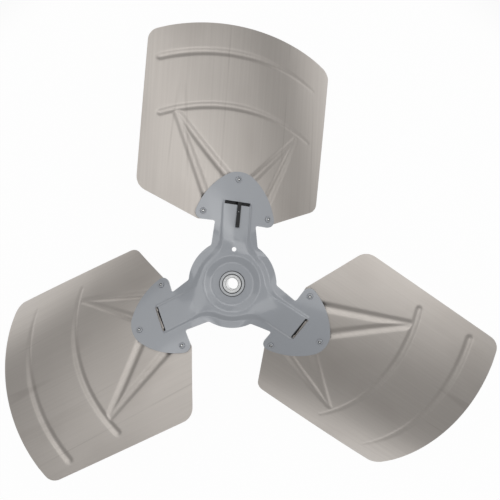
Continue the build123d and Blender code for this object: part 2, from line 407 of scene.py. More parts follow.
@dataclass(frozen=True)
class MillAluminium:
    """Rolled aluminium sheet, left as it came from the mill.

    The rolls leave fine streaks along the sheet, so that it glows softly and unevenly, with no
    clear mirror image. Pressing leaves shallow dents, and handling leaves dull patches and a few
    darker rub lines. The cover of a mark is the noise at which it starts, the noise at which it
    is full, and the share of the colour below that it then hides.
    """

    colour: str = "#cbc5bf"
    roughness: float = 0.46
    unevenness: float = 0.02
    streak_colour: str = "#bab4ae"
    streak_width: float = 1.8
    streak_length: float = 160.0
    streak_cover: Triple = (0.35, 0.7, 0.22)
    stain_colour: str = "#b3aca6"
    stain_width: float = 55.0
    stain_length: float = 110.0
    stain_cover: Triple = (0.5, 0.75, 0.38)
    rub_colour: str = "#9a938d"
    rub_spacing: float = 40.0
    rub_length: float = 900.0
    rub_cover: Triple = (0.013, 0.003, 0.22)
    bare_cover: Triple = (0.55, 0.4, 1.0)
    dent_size: float = 70.0
    dent_depth: float = 1.2

    def material(self) -> bpy.types.Material:
        """Builds the material on the sheet's own map, whose second axis is the rolling direction.

        Returns:
            The material.
        """
        material, tree = new_material("mill finish aluminium sheet")
        sheet = add_node(tree, "ShaderNodeUVMap", uv_map=SHEET_UV).outputs["UV"]
        noises = []
        for width, length, detail in (
            (self.streak_width, self.streak_length, 3.0),
            (self.stain_width, self.stain_length, 2.0),
            (self.rub_spacing, self.rub_length, 0.0),
            (self.dent_size, self.dent_size, 0.0),
        ):
            scale = (UV_MM / width, UV_MM / length, 1.0)
            stretch = add_node(tree, "ShaderNodeMapping", {"Vector": sheet, "Scale": scale})
            grain = {"Vector": stretch.outputs["Vector"], "Scale": 1.0, "Detail": detail}
            noises.append(add_node(tree, "ShaderNodeTexNoise", grain).outputs["Fac"])
        streaks, stains, rubs, dents = noises
        # A rub line is where the long noise passes its middle, and it shows only off the stains.
        away = add_node(tree, "ShaderNodeMath", {0: rubs, 1: NOISE_MIDDLE}, operation="SUBTRACT")
        away = add_node(tree, "ShaderNodeMath", {0: away.outputs["Value"]}, operation="ABSOLUTE")
        covers = []
        for value, (start, full, share) in (
            (streaks, self.streak_cover),
            (stains, self.stain_cover),
            (away.outputs["Value"], self.rub_cover),
            (stains, self.bare_cover),
        ):
            limits = {"Value": value, "From Min": start, "From Max": full, "To Max": share}
            covers.append(add_node(tree, "ShaderNodeMapRange", limits).outputs["Result"])
        streak, stain, rub, bare = covers
        line = add_node(tree, "ShaderNodeMath", {0: rub, 1: bare}, operation="MULTIPLY")
        colour = linear_colour(self.colour)
        for cover, code in (
            (streak, self.streak_colour),
            (stain, self.stain_colour),
            (line.outputs["Value"], self.rub_colour),
        ):
            layers = {MIX_FACTOR: cover, MIX_UNDER: colour, MIX_OVER: linear_colour(code)}
            mix = add_node(tree, "ShaderNodeMix", layers, data_type="RGBA")
            colour = mix.outputs[MIX_RESULT]
        dulling = {"Value": streaks, "From Min": NOISE_LOW, "From Max": NOISE_HIGH}
        dulling["To Min"] = self.roughness - self.unevenness
        dulling["To Max"] = self.roughness + self.unevenness
        rough = add_node(tree, "ShaderNodeMapRange", dulling)
        relief = {"Height": dents, "Strength": 1.0, "Distance": self.dent_depth * MM}
        bump = add_node(tree, "ShaderNodeBump", relief)
        surface = {"Base Color": colour, "Metallic": 1.0, "Roughness": rough.outputs["Result"]}
        surface["Normal"] = bump.outputs["Normal"]
        shader = add_node(tree, "ShaderNodeBsdfPrincipled", surface)
        add_node(tree, "ShaderNodeOutputMaterial", {"Surface": shader.outputs["BSDF"]})
        return material


@dataclass(frozen=True)
class SatinPaint:
    """Blue-grey dip paint on steel: an even, opaque film whose glossy skin glints at bends."""

    name: str = "blue-grey satin paint on steel"
    colour: str = "#a4a8ae"
    roughness: float = 0.3
    index: float = 1.5
    skin_roughness: float = 0.12
    skin_index: float = 1.7
    ripple_size: float = 6.0
    ripple_height: float = 0.03

    def material(self) -> bpy.types.Material:
        """Builds the paint with the faint ripple of a dipped film.

        Returns:
            The material.
        """
        material, tree = new_material(self.name)
        where = add_node(tree, "ShaderNodeTexCoord").outputs["Object"]
        ripple = {"Vector": where, "Scale": 1.0 / (self.ripple_size * MM), "Detail": 1.0}
        height = add_node(tree, "ShaderNodeTexNoise", ripple).outputs["Fac"]
        relief = {"Height": height, "Strength": 1.0, "Distance": self.ripple_height * MM}
        bump = add_node(tree, "ShaderNodeBump", relief)
        film = {
            "Base Color": linear_colour(self.colour),
            "Roughness": self.roughness,
            "IOR": self.index,
            "Coat Weight": 1.0,
            "Coat Roughness": self.skin_roughness,
            "Coat IOR": self.skin_index,
            "Normal": bump.outputs["Normal"],
        }
        shader = add_node(tree, "ShaderNodeBsdfPrincipled", film)
        add_node(tree, "ShaderNodeOutputMaterial", {"Surface": shader.outputs["BSDF"]})
        return material


@dataclass(frozen=True)
class PlainMetal:
    """A bare, plated or oiled metal of one colour, whose gloss is a little uneven.

    A turned face also has the fine rings that the lathe left, drawn coarser than life so that
    they show.
    """

    name: str
    colour: str
    roughness: float
    metallic: float = 1.0
    mottle: float = 0.06
    mottle_size: float = 2.5
    ring_spacing: float = 0.0
    ring_depth: float = 0.006

    def material(self) -> bpy.types.Material:
        """Builds the metal.

        Returns:
            The material.
        """
        material, tree = new_material(self.name)
        where = add_node(tree, "ShaderNodeTexCoord").outputs["Object"]
        patches = {"Vector": where, "Scale": 1.0 / (self.mottle_size * MM), "Detail": 3.0}
        patchy = add_node(tree, "ShaderNodeTexNoise", patches).outputs["Fac"]
        dulling = {"Value": patchy, "From Min": NOISE_LOW, "From Max": NOISE_HIGH}
        dulling["To Min"] = self.roughness - self.mottle
        dulling["To Max"] = self.roughness + self.mottle
        rough = add_node(tree, "ShaderNodeMapRange", dulling).outputs["Result"]
        surface = {"Base Color": linear_colour(self.colour), "Metallic": self.metallic}
        surface["Roughness"] = rough
        if self.ring_spacing:
            rings = {"Vector": where, "Scale": WAVE_PERIOD / (self.ring_spacing * MM)}
            turning = {"wave_type": "RINGS", "rings_direction": "Z"}
            wave = add_node(tree, "ShaderNodeTexWave", rings, **turning).outputs["Fac"]
            relief = {"Height": wave, "Strength": 1.0, "Distance": self.ring_depth * MM}
            surface["Normal"] = add_node(tree, "ShaderNodeBump", relief).outputs["Normal"]
        shader = add_node(tree, "ShaderNodeBsdfPrincipled", surface)
        add_node(tree, "ShaderNodeOutputMaterial", {"Surface": shader.outputs["BSDF"]})
        return material


class Finish(Enum):
    """The finishes on the fan."""

    BLADE = MillAluminium()
    SPIDER = SatinPaint()
    # Zinc plate over a turned face is bright, with the lathe's rings blurring what it mirrors.
    HUB = PlainMetal("zinc plated turned steel", "#dcdddd", 0.25, ring_spacing=0.5)
    # The collar was hammered over when the hub was staked, which dulls its plate.
    COLLAR = PlainMetal("staked zinc plated steel", "#b4b6b8", 0.42)
    # Painted shade: a near-black film laid where shade falls, in the pockets under the slots, the
    # hub's groove and collar foot, and the rivets' dimples and feet.
    PAINTED_SHADE = PlainMetal("near-black painted shade", "#1b1a1c", 0.6, metallic=0.0)
    # Oil-blackened spring steel is near black with a dull sheen.
    CLIP = PlainMetal("oil blackened spring steel", "#141415", 0.45, metallic=0.0)

    def material(self) -> bpy.types.Material:
        """Makes a new material of the finish."""
        return self.value.material()


@dataclass(frozen=True)
class Camber:
    """The cylinder of sheet that a blade and its pad lie on.

    It is in the frame of the first arm, in millimetres.
    """

    pad_radius: float = 86.0
    pad_pitch: float = 22.0
    pad_droop: float = 3.3
    pad_yaw: float = -2.2
    neck_start: float = 43.0
    radius: float = 246.5
    yaw: float = 15.7

    def pad_place(self) -> np.ndarray:
        """Works out the pad's frame on the fan.

        Returns:
            The frame, as a matrix.
        """
        drop = (self.pad_radius - self.neck_start) * math.tan(math.radians(self.pad_droop))
        place = Matrix.Translation((0.0, self.pad_radius, -drop))
        turns = ((self.pad_yaw, "Z"), (-self.pad_droop, "X"), (self.pad_pitch, "Y"))
        for angle, axis in turns:
            place = place @ Matrix.Rotation(math.radians(angle), 4, axis)
        return np.array(place)

    def sheet_place(self) -> np.ndarray:
        """The frame whose second axis is the cylinder's crown line, as a matrix."""
        return self.pad_place() @ np.array(Matrix.Rotation(math.radians(self.yaw), 4, "Z"))

    def above(self, plan: np.ndarray, lift: float) -> np.ndarray:
        """Finds the cylinder straight above places in plan.

        Args:
            plan: Places in plan, one to a row.
            lift: Height of the surface over the blade's outer face, along its normal.

        Returns:
            The places on the surface, one to a row.
        """
        inverse = np.linalg.inv(self.sheet_place())
        flat = np.column_stack((plan, np.zeros(len(plan)), np.ones(len(plan))))
        chord, height = inverse[0] @ flat.T, inverse[2] @ flat.T + self.radius
        chord_rate, height_rate = inverse[0, 2], inverse[2, 2]
        square = chord_rate ** 2 + height_rate ** 2
        cross = chord * chord_rate + height * height_rate
        rest = chord ** 2 + height ** 2 - (self.radius + lift) ** 2
        level = (-cross + np.sqrt(np.maximum(cross ** 2 - square * rest, 0.0))) / square
        return np.column_stack((plan, level))

    def on_sheet(self, points: np.ndarray) -> np.ndarray:
        """Reads places on the outer face as chord from the crown line and span from the pad."""
        return in_frame(points, self.sheet_place())[:, :2]

    def from_sheet(self, sheet: np.ndarray, lift: np.ndarray | float) -> np.ndarray:
        """Finds places on or over the outer face.

        Args:
            sheet: Chord and span, one pair to a row.
            lift: Height over the outer face, along its normal.

        Returns:
            The places, one to a row.
        """
        scale = (self.radius + lift) / self.radius
        crown = np.sqrt(self.radius ** 2 - sheet[:, 0] ** 2) * scale - self.radius
        local = np.column_stack((sheet[:, 0] * scale, sheet[:, 1], crown, np.ones(len(sheet))))
        return (local @ self.sheet_place().T)[:, :3]

    def pad_point(self, pad: np.ndarray, lift: float) -> np.ndarray:
        """Finds places over the pad's seat from the pad's own axes.

        Args:
            pad: Across and along the pad, one pair to a row.
            lift: Height over the blade's outer face.

        Returns:
            The places, one to a row.
        """
        turn = math.radians(self.yaw)
        chord = pad[:, 0] * math.cos(turn) + pad[:, 1] * math.sin(turn)
        crown = np.sqrt(self.radius ** 2 - chord ** 2) - self.radius + lift
        local = np.column_stack((pad, crown, np.ones(len(pad))))
        return (local @ self.pad_place().T)[:, :3]


@dataclass(frozen=True)
class RivetPattern:
    """Where the rivets stand on a pad's axes, and the holes punched for them, in millimetres."""

    spread: float = 36.4
    heel: float = 12.4
    tip: float = 25.6
    tip_shift: float = 2.0
    hole: float = 2.4

    def places(self) -> np.ndarray:
        """The three rivets of a pad, across and along it."""
        left, right = (-self.spread, -self.heel), (self.spread, -self.heel)
        return np.array((left, (-self.tip_shift, self.tip), right))

    def holes(self, camber: Camber, lift: float) -> list[np.ndarray]:
        """Draws the holes of the first pad in plan.

        Args:
            camber: The cylinder that the sheet lies on.
            lift: Height of the sheet's upper face over the blade's outer face.

        Returns:
            Closed outlines.
        """
        rings = [arc_points(place, self.hole, 0.0, FULL_TURN, HOLE_STEP) for place in self.places()]
        return [camber.pad_point(ring, lift)[:, :2] for ring in rings]


@dataclass
class SheetBlank:
    """A blank cut from flat sheet, in plan, which a press then forms, in millimetres."""

    outline: np.ndarray
    holes: list[np.ndarray]
    cell: float
    thickness: float
    snap_share: float = 0.5
    relaxing_passes: int = 4
    relaxing_share: float = 0.5
    sharp: float = 40.0

    def edge_gap(self, plan: np.ndarray) -> tuple[np.ndarray, np.ndarray]:
        """Measures how far places are from the blank's edge.

        Args:
            plan: Places in plan, one to a row.

        Returns:
            The distance to the nearest edge, below zero inside the blank, and the nearest place
            on an edge.
        """
        gap, place, _ = nearest_on_path(plan, self.outline)
        inside = inside_outline(plan, self.outline)
        for hole in self.holes:
            hole_gap, hole_place, _ = nearest_on_path(plan, hole)
            inside &= ~inside_outline(plan, hole)
            closer = hole_gap < gap
            gap[closer], place[closer] = hole_gap[closer], hole_place[closer]
        return np.where(inside, -gap, gap), place

    def cut(self) -> bmesh.types.BMesh:
        """Lays a grid over the blank and trims it to the outline and holes.

        Returns:
            The flat blank.
        """
        low, high = self.outline.min(axis=0) - self.cell, self.outline.max(axis=0) + self.cell
        columns, rows = (int(count) for count in np.ceil((high - low) / self.cell))
        blank = bmesh.new()
        bmesh.ops.create_grid(blank, x_segments=columns, y_segments=rows, size=0.5)
        bmesh.ops.scale(blank, vec=(*(high - low), 1.0), verts=blank.verts)
        bmesh.ops.translate(blank, vec=(*((low + high) / 2.0), 0.0), verts=blank.verts)
        gap, place = self.edge_gap(np.array([vert.co.xy for vert in blank.verts]))
        edge_place = dict(zip(blank.verts, place))
        spare = []
        for vert, distance in zip(blank.verts, gap):
            if abs(distance) < self.snap_share * self.cell:
                vert.co.xy = edge_place[vert]
            elif distance > 0.0:
                spare.append(vert)
        bmesh.ops.delete(blank, geom=spare, context="VERTS")
        loose = [vert for vert in blank.verts if not vert.link_faces]
        bmesh.ops.delete(blank, geom=loose, context="VERTS")
        for vert in blank.verts:
            if vert.is_boundary:
                vert.co.xy = edge_place[vert]
        inner = [vert for vert in blank.verts if not vert.is_boundary]
        near = [v for v in inner if any(e.other_vert(v).is_boundary for e in v.link_edges)]
        relaxing = {"factor": self.relaxing_share, "use_axis_x": True, "use_axis_y": True}
        for _ in range(self.relaxing_passes):
            bmesh.ops.smooth_vert(blank, verts=near, **relaxing)
        return blank

    def pressed(
        self, form: PressForm, uv_shift: tuple[float, float] = (0.0, 0.0)
    ) -> bmesh.types.BMesh:
        """Cuts the blank, gives it its form and its thickness.

        Args:
            form: Turns places in plan into places on the upper face.
            uv_shift: Where on the mill's sheet the blank was cut, in millimetres.

        Returns:
            The closed shell.
        """
        shell = self.cut()
        layer = shell.loops.layers.uv.new(SHEET_UV)
        shift = Vector(uv_shift)
        for face in shell.faces:
            for loop in face.loops:
                loop[layer].uv = (loop.vert.co.xy + shift) / UV_MM
        formed = form(np.array([vert.co.xy for vert in shell.verts]))
        for vert, spot in zip(shell.verts, formed):
            vert.co = spot
        shell.normal_update()
        bmesh.ops.solidify(shell, geom=shell.faces[:], thickness=self.thickness)
        mark_sharp(shell, self.sharp)
        return shell


@dataclass(frozen=True)
class Groove:
    """A groove pressed into the sheet along an arc through three places.

    Each place is chord, span and the share of the full depth there. Where the depth runs out,
    the groove narrows to its end share, and its floor is flat over the floor share of its width.
    """

    places: tuple[Triple, ...]
    half_width: float
    depth: float
    end_share: float = 0.3
    floor_share: float = 0.1
    path_count: int = 41

    def depth_at(self, sheet: np.ndarray) -> np.ndarray:
        """Reads how deep the groove is.

        Args:
            sheet: Chord and span, one pair to a row.

        Returns:
            The depth below the sheet at each place.
        """
        spots = np.array(self.places)
        path = arc_through(spots[:, :2], self.path_count)
        gap, _, along = nearest_on_path(sheet, path)
        share = np.interp(along, (0.0, 0.5, 1.0), spots[:, 2])
        width = self.half_width * (self.end_share + (1.0 - self.end_share) * share)
        return self.depth * share * (1.0 - smooth_ramp(gap, self.floor_share * width, width))


@dataclass(frozen=True)
class BladeSide:
    """One straight side of a blade, and its corners at the root and the tip, in millimetres.

    The side stands at its offset from the arm's line at the edge level, and leans outwards.
    """

    sign: float
    offset: float
    lean: float
    root_angle: float
    root_fillet: float
    tip_fillet: float
    edge_level: float = 168.0
    solving_passes: int = 20

    def distance(self, level: float) -> float:
        """How far the side is from the arm's line at a level."""
        return self.offset + (level - self.edge_level) * math.tan(math.radians(self.lean))

    def root_corner(self, root_half: float, root_level: float) -> np.ndarray:
        """Finds where the root's slope meets the side.

        Args:
            root_half: Half the width of the root's blunt end.
            root_level: The level of that end.

        Returns:
            The corner in plan.
        """
        slope, drift = (math.tan(math.radians(angle)) for angle in (self.root_angle, self.lean))
        level = root_level + slope * (self.distance(0.0) - root_half)
        level /= 1.0 - slope * drift
        return np.array((self.sign * self.distance(level), level))

    def tip_corner(self, tip_radius: float) -> np.ndarray:
        """Finds where the side meets the tip circle.

        Args:
            tip_radius: The radius of the circle.

        Returns:
            The corner in plan.
        """
        level = tip_radius
        for _ in range(self.solving_passes):
            level = math.sqrt(tip_radius ** 2 - self.distance(level) ** 2)
        return np.array((self.sign * self.distance(level), level))


@dataclass
class Blade:
    """One stamped blade: a cambered sheet with beads and darts pressed in, in millimetres.

    The two ribs of a dart start at the pad and meet at the inner bead.
    """

    camber: Camber
    pattern: RivetPattern
    tip_radius: float = 279.3
    thickness: float = 1.3
    near: BladeSide = BladeSide(-1.0, 104.7, -1.6, 24.9, root_fillet=16.0, tip_fillet=14.0)
    far: BladeSide = BladeSide(1.0, 91.0, 2.9, 23.0, root_fillet=12.0, tip_fillet=12.0)
    root_level: float = 67.0
    root_half: float = 40.0
    tip_trim: float = 21.0
    tip_step: float = 2.0
    bead_size: tuple[float, float] = (5.0, 1.4)
    beads: tuple[tuple[Triple, ...], ...] = (
        ((-57.0, 164.2, 0.9), (42.0, 156.8, 1.0), (128.0, 120.0, 0.35)),
        ((-66.0, 106.6, 0.9), (30.0, 98.8, 1.0), (105.0, 58.5, 0.35)),
    )
    rib_size: tuple[float, float] = (6.4, 2.1)
    ribs: tuple[tuple[Triple, ...], ...] = (
        ((-32.5, 13.5, 1.0), (-41.2, 61.0, 0.85), (-49.2, 103.5, 0.65)),
        ((-5.4, 30.5, 1.0), (-27.6, 67.3, 0.85), (-46.8, 102.5, 0.65)),
        ((18.0, 20.9, 1.0), (55.5, 44.6, 0.8), (86.0, 63.8, 0.45)),
        ((33.6, -4.3, 1.0), (62.4, 32.4, 0.8), (85.0, 61.3, 0.45)),
    )
    pocket_half: float = 17.0
    # How far past each slot's middle the painted shade reaches: all of the first slot, and only the
    # hub side of the others.
    pocket_ends: tuple[float, ...] = (17.0, 0.5, 0.5)
    cut_spacing: tuple[float, float] = (310.0, 170.0)
    cell: float = 1.15

    def outline(self) -> np.ndarray:
        """Draws the outline in plan: straight sides, a tip on the fan's circle and a blunt V root.

        Returns:
            The outline's corners, with the first repeated at the end.
        """
        sides = (self.near, self.far)
        near_end, far_end = (np.array((s.sign * self.root_half, self.root_level)) for s in sides)
        near_root, far_root = (s.root_corner(self.root_half, self.root_level) for s in sides)
        near_tip, far_tip = (s.tip_corner(self.tip_radius) for s in sides)
        trim = self.tip_trim / self.tip_radius
        start = math.atan2(near_tip[1], near_tip[0]) - trim
        end = math.atan2(far_tip[1], far_tip[0]) + trim
        tip = arc_points(AXIS, self.tip_radius, start, end, self.tip_step)
        return np.vstack((
            near_end,
            rounded_corner(near_end, near_root, near_tip, self.near.root_fillet),
            rounded_corner(near_root, near_tip, tip[0], self.near.tip_fillet),
            tip,
            rounded_corner(tip[-1], far_tip, far_root, self.far.tip_fillet),
            rounded_corner(far_tip, far_root, far_end, self.far.root_fillet),
            far_end,
            near_end,
        ))

    def form(self, plan: np.ndarray) -> np.ndarray:
        """Bends places in plan to the camber and presses the grooves.

        Args:
            plan: Places in plan, one to a row.

        Returns:
            The places on the outer face.
        """
        sheet = self.camber.on_sheet(self.camber.above(plan, 0.0))
        grooves = [Groove(places, *self.bead_size) for places in self.beads]
        grooves += [Groove(places, *self.rib_size) for places in self.ribs]
        depth = np.max([groove.depth_at(sheet) for groove in grooves], axis=0)
        return self.camber.from_sheet(sheet, -depth)

    def in_pocket(self, points: np.ndarray, end: float) -> np.ndarray:
        """Says which places lie in the closed pocket under the pad's raised panel.

        Args:
            points: Places on the blade, one to a row.
            end: How far out from the slot's middle the painted shade in the pocket reaches.

        Returns:
            True for each place in the pocket.
        """
        across, along, _ = in_frame(points, self.camber.pad_place()).T
        return (np.abs(across) < self.pocket_half) & (along > -self.pocket_half) & (along < end)

    def build(self) -> None:
        """Presses one blade for each arm, with painted shade on its outer face in the pocket under
        the slot.
        """
        holes = self.pattern.holes(self.camber, 0.0)
        blank = SheetBlank(self.outline(), holes, self.cell, self.thickness)
        materials = [finish.material() for finish in (Finish.BLADE, Finish.PAINTED_SHADE)]
        across, along = self.cut_spacing
        for index, angle in enumerate(ARM_ANGLES):
            shell = blank.pressed(self.form, uv_shift=(across * index, along * index))
            centres = np.array([face.calc_center_median() for face in shell.faces])
            # Upper faces inside the pocket get painted shade, which stands for the dark under the
            # slot.
            shade_painted = self.in_pocket(centres, self.pocket_ends[index])
            for face, dark in zip(shell.faces, shade_painted):
                face.material_index = int(dark and face.normal.z > 0.0)
            turn = Matrix.Rotation(math.radians(angle), 3, "Z")
            bmesh.ops.rotate(shell, matrix=turn, verts=shell.verts)
            name, node = f"pressed_blade_{index + 1}", f"blade_{index + 1}"
            finish_piece(name, shell, materials, node)


@dataclass
class Spider:
    """The painted spider pressed from one sheet: disc, necks and pitched pads, in millimetres."""

    camber: Camber
    pattern: RivetPattern
    thickness: float = 2.0
    seat_gap: float = 0.05
    disc_radius: float = 47.0
    arm_root_half: float = 24.7
    arm_end_half: float = 22.6
    root_fillet: float = 4.0
    heel_fillet: float = 2.0
    plateau_height: float = 3.0
    plateau_foot: float = 40.0
    plateau_slope: float = 6.0
    twist_start: float = 30.0
    strip_half: float = 17.0
    strip_blend: float = 14.0
    floor_radius: float = 21.5
    floor_slope: float = 9.5
    panel_half: float = 16.0
    panel_height: float = 2.0
    panel_slope: float = 2.8
    centre_hole: float = 10.35
    locating_hole: float = 2.4
    locating_radius: float = 36.8
    pad_half: float = 44.5
    pad_tip: float = 34.0
    pad_tip_half: float = 13.0
    pad_tip_crown: float = 3.0
    pad_bulge: float = 5.2
    pad_heel: float = 21.2
    pad_corner_rise: float = 8.5
    pad_corner_fillet: float = 7.5
    slot_half_length: float = 14.5
    slot_half_width: float = 1.9
    pad_side_count: int = 24
    pad_tip_count: int = 15
    rim_step: float = 1.5
    centre_step: float = 1.0
    cell: float = 0.8

    @property
    def skin(self) -> float:
        """Height of the pad's upper face over the blade's outer face."""
        return self.seat_gap + self.thickness

    def pad_outline(self) -> np.ndarray:
        """Draws the pad's free edge on its own axes, from its clockwise heel to the other heel.

        Returns:
            The places in order, one to a row.
        """
        shoulder = np.array((self.pad_tip_half, self.pad_tip - self.pad_tip_crown))
        corner = np.array((self.pad_half, self.pad_corner_rise - self.pad_heel))
        heel = np.array((self.pad_half, -self.pad_heel))
        inner = np.array((self.arm_end_half, -self.pad_heel))
        chord = corner - shoulder
        outward = np.array((-chord[1], chord[0])) / np.hypot(*chord)
        bulge = (corner + shoulder) / 2.0 + self.pad_bulge * outward
        side = arc_through(np.array((corner, bulge, shoulder)), self.pad_side_count)
        flip = np.array((-1.0, 1.0))
        crown = np.array((shoulder, (0.0, self.pad_tip), shoulder * flip))
        tip = arc_through(crown, self.pad_tip_count)
        rounding = rounded_corner(inner, heel, corner, self.pad_corner_fillet)
        right = np.vstack((inner, rounding, side))
        return np.vstack((right, tip[1:-1], (right * flip)[::-1]))

    def arm_outline(self) -> np.ndarray:
        """Draws the edge of one arm in plan, from its clockwise root to its other root.

        Returns:
            The places in order, one to a row.
        """
        pad = self.camber.pad_point(self.pad_outline(), self.skin)[:, :2]
        level = math.sqrt(self.disc_radius ** 2 - self.arm_root_half ** 2)
        roots = np.array(((self.arm_root_half, level), (-self.arm_root_half, level)))
        right, left = roots
        # The rim two fillets away from a root stands for the rim's side of that corner.
        lag = math.degrees(2.0 * self.root_fillet / self.disc_radius)
        right_rim, left_rim = turned(roots, -lag)[0], turned(roots, lag)[1]
        return np.vstack((
            rounded_corner(right_rim, right, pad[0], self.root_fillet),
            rounded_corner(right, pad[0], pad[1], self.heel_fillet),
            pad[1:-1],
            rounded_corner(pad[-2], pad[-1], left, self.heel_fillet),
            rounded_corner(pad[-1], left, left_rim, self.root_fillet),
        ))

    def outline(self) -> np.ndarray:
        """Draws the whole spider's edge in plan.

        Returns:
            The outline's corners, with the first repeated at the end.
        """
        arm = self.arm_outline()
        runs = []
        for angle in ARM_ANGLES:
            here, ahead = turned(arm, angle), turned(arm, angle + ARM_STEP)
            start, end = math.atan2(*here[-1][::-1]), math.atan2(*ahead[0][::-1])
            end = start + (end - start) % FULL_TURN
            rim = arc_points(AXIS, self.disc_radius, start, end, self.rim_step)
            runs.extend((here, rim[1:-1]))
        runs.append(runs[0][:1])
        return np.vstack(runs)

    def holes(self) -> list[np.ndarray]:
        """Draws the slots, the rivet holes, the locating hole and the hub's hole in plan.

        Returns:
            Closed outlines.
        """
        turns = ((-1.0, -1.0), (1.0, -1.0), (1.0, 1.0), (-1.0, 1.0), (-1.0, -1.0))
        corners = np.array(turns) * (self.slot_half_length, self.slot_half_width)
        slot = self.camber.pad_point(corners, self.skin)[:, :2]
        hub = arc_points(AXIS, self.centre_hole, 0.0, FULL_TURN, self.centre_step)
        spot = np.array((0.0, self.locating_radius))
        locator = arc_points(spot, self.locating_hole, 0.0, FULL_TURN, HOLE_STEP)
        pad_holes = [slot, *self.pattern.holes(self.camber, self.skin)]
        return [turned(hole, angle) for angle in ARM_ANGLES for hole in pad_holes] + [hub, locator]

    def arm_form(self, plan: np.ndarray) -> np.ndarray:
        """Presses the third of the spider round the first arm.

        Args:
            plan: Places in plan, one to a row.

        Returns:
            The places on the upper face.
        """
        x, y = plan.T
        pad = self.camber.above(plan, self.skin)
        along = in_frame(pad, self.camber.pad_place())[:, 1]
        twist = smooth_ramp(y, self.twist_start, self.camber.pad_radius - self.pad_heel)
        level = self.thickness + twist * (pad[:, 2] - self.thickness)
        radius = np.hypot(x, y)
        half = self.strip_half + twist * (self.panel_half - self.strip_half)
        slope = self.plateau_slope + twist * (self.panel_slope - self.plateau_slope)
        height = self.plateau_height + twist * (self.panel_height - self.plateau_height)
        in_ring = self.plateau_foot - radius
        in_strip = np.where(y > 0.0, half - np.abs(x), -self.disc_radius)
        inside = smooth_union(in_ring, in_strip, self.strip_blend)
        relief = height * pressed_ramp(inside, 0.0, slope)
        relief *= pressed_ramp(radius, self.floor_radius, self.floor_radius + self.floor_slope)
        relief *= 1.0 - smooth_ramp(along, -self.slot_half_width, self.slot_half_width)
        return np.column_stack((plan, level + relief))

    def form(self, plan: np.ndarray) -> np.ndarray:
        """Presses the whole spider, each place by the arm that it is nearest to.

        Args:
            plan: Places in plan, one to a row.

        Returns:
            The places on the upper face.
        """
        reach = np.column_stack([turned(plan, -angle)[:, 1] for angle in ARM_ANGLES])
        nearest = reach.argmax(axis=1)
        result = np.zeros((len(plan), 3))
        for index, angle in enumerate(ARM_ANGLES):
            here = nearest == index
            result[here] = turned(self.arm_form(turned(plan[here], -angle)), angle)
        return result

    def build(self) -> None:
        """Presses and paints the spider."""
        blank = SheetBlank(self.outline(), self.holes(), self.cell, self.thickness)
        shell, paint = blank.pressed(self.form), [Finish.SPIDER.material()]
        finish_piece("pressed_spider", shell, paint, "spider")


def turned_solid(profile: list[tuple[float, float]], steps: int) -> bmesh.types.BMesh:
    """Spins a closed profile about the fan axis.

    Args:
        profile: Radius and level of each corner.
        steps: How many steps make the turn.

    Returns:
        The closed solid.
    """
    solid = bmesh.new()
    corners = [solid.verts.new((radius, 0.0, level)) for radius, level in profile]
    edges = [solid.edges.new(pair) for pair in zip(corners, corners[1:] + corners[:1])]
    spindle = {"cent": (0, 0, 0), "axis": (0, 0, 1), "angle": FULL_TURN}
    bmesh.ops.spin(solid, geom=corners + edges, steps=steps, use_merge=True, **spindle)
    bmesh.ops.remove_doubles(solid, verts=solid.verts, dist=SEAM_GAP)
    bmesh.ops.recalc_face_normals(solid, faces=solid.faces)
    return solid


def drilled(solid: bmesh.types.BMesh, drill: bmesh.types.BMesh) -> bmesh.types.BMesh:
    """Cuts one solid out of another.

    Args:
        solid: The solid to cut, which is freed.
        drill: The solid to cut away, which is freed.

    Returns:
        What is left.
    """
    stock, tool = (
        link_object(name, keep_mesh(name, shape))
        for name, shape in (("solid", solid), ("drill", drill))
    )
    cut = stock.modifiers.new("cut", "BOOLEAN")
    cut.operation, cut.solver, cut.object = "DIFFERENCE", "EXACT", tool
    result = bmesh.new()
    result.from_object(stock, bpy.context.evaluated_depsgraph_get())
    for piece in (stock, tool):
        mesh = piece.data
        bpy.data.objects.remove(piece)
        bpy.data.meshes.remove(mesh)
    bmesh.ops.remove_doubles(result, verts=result.verts, dist=SLIVER)
    bmesh.ops.dissolve_degenerate(result, edges=result.edges, dist=SLIVER)
    return result


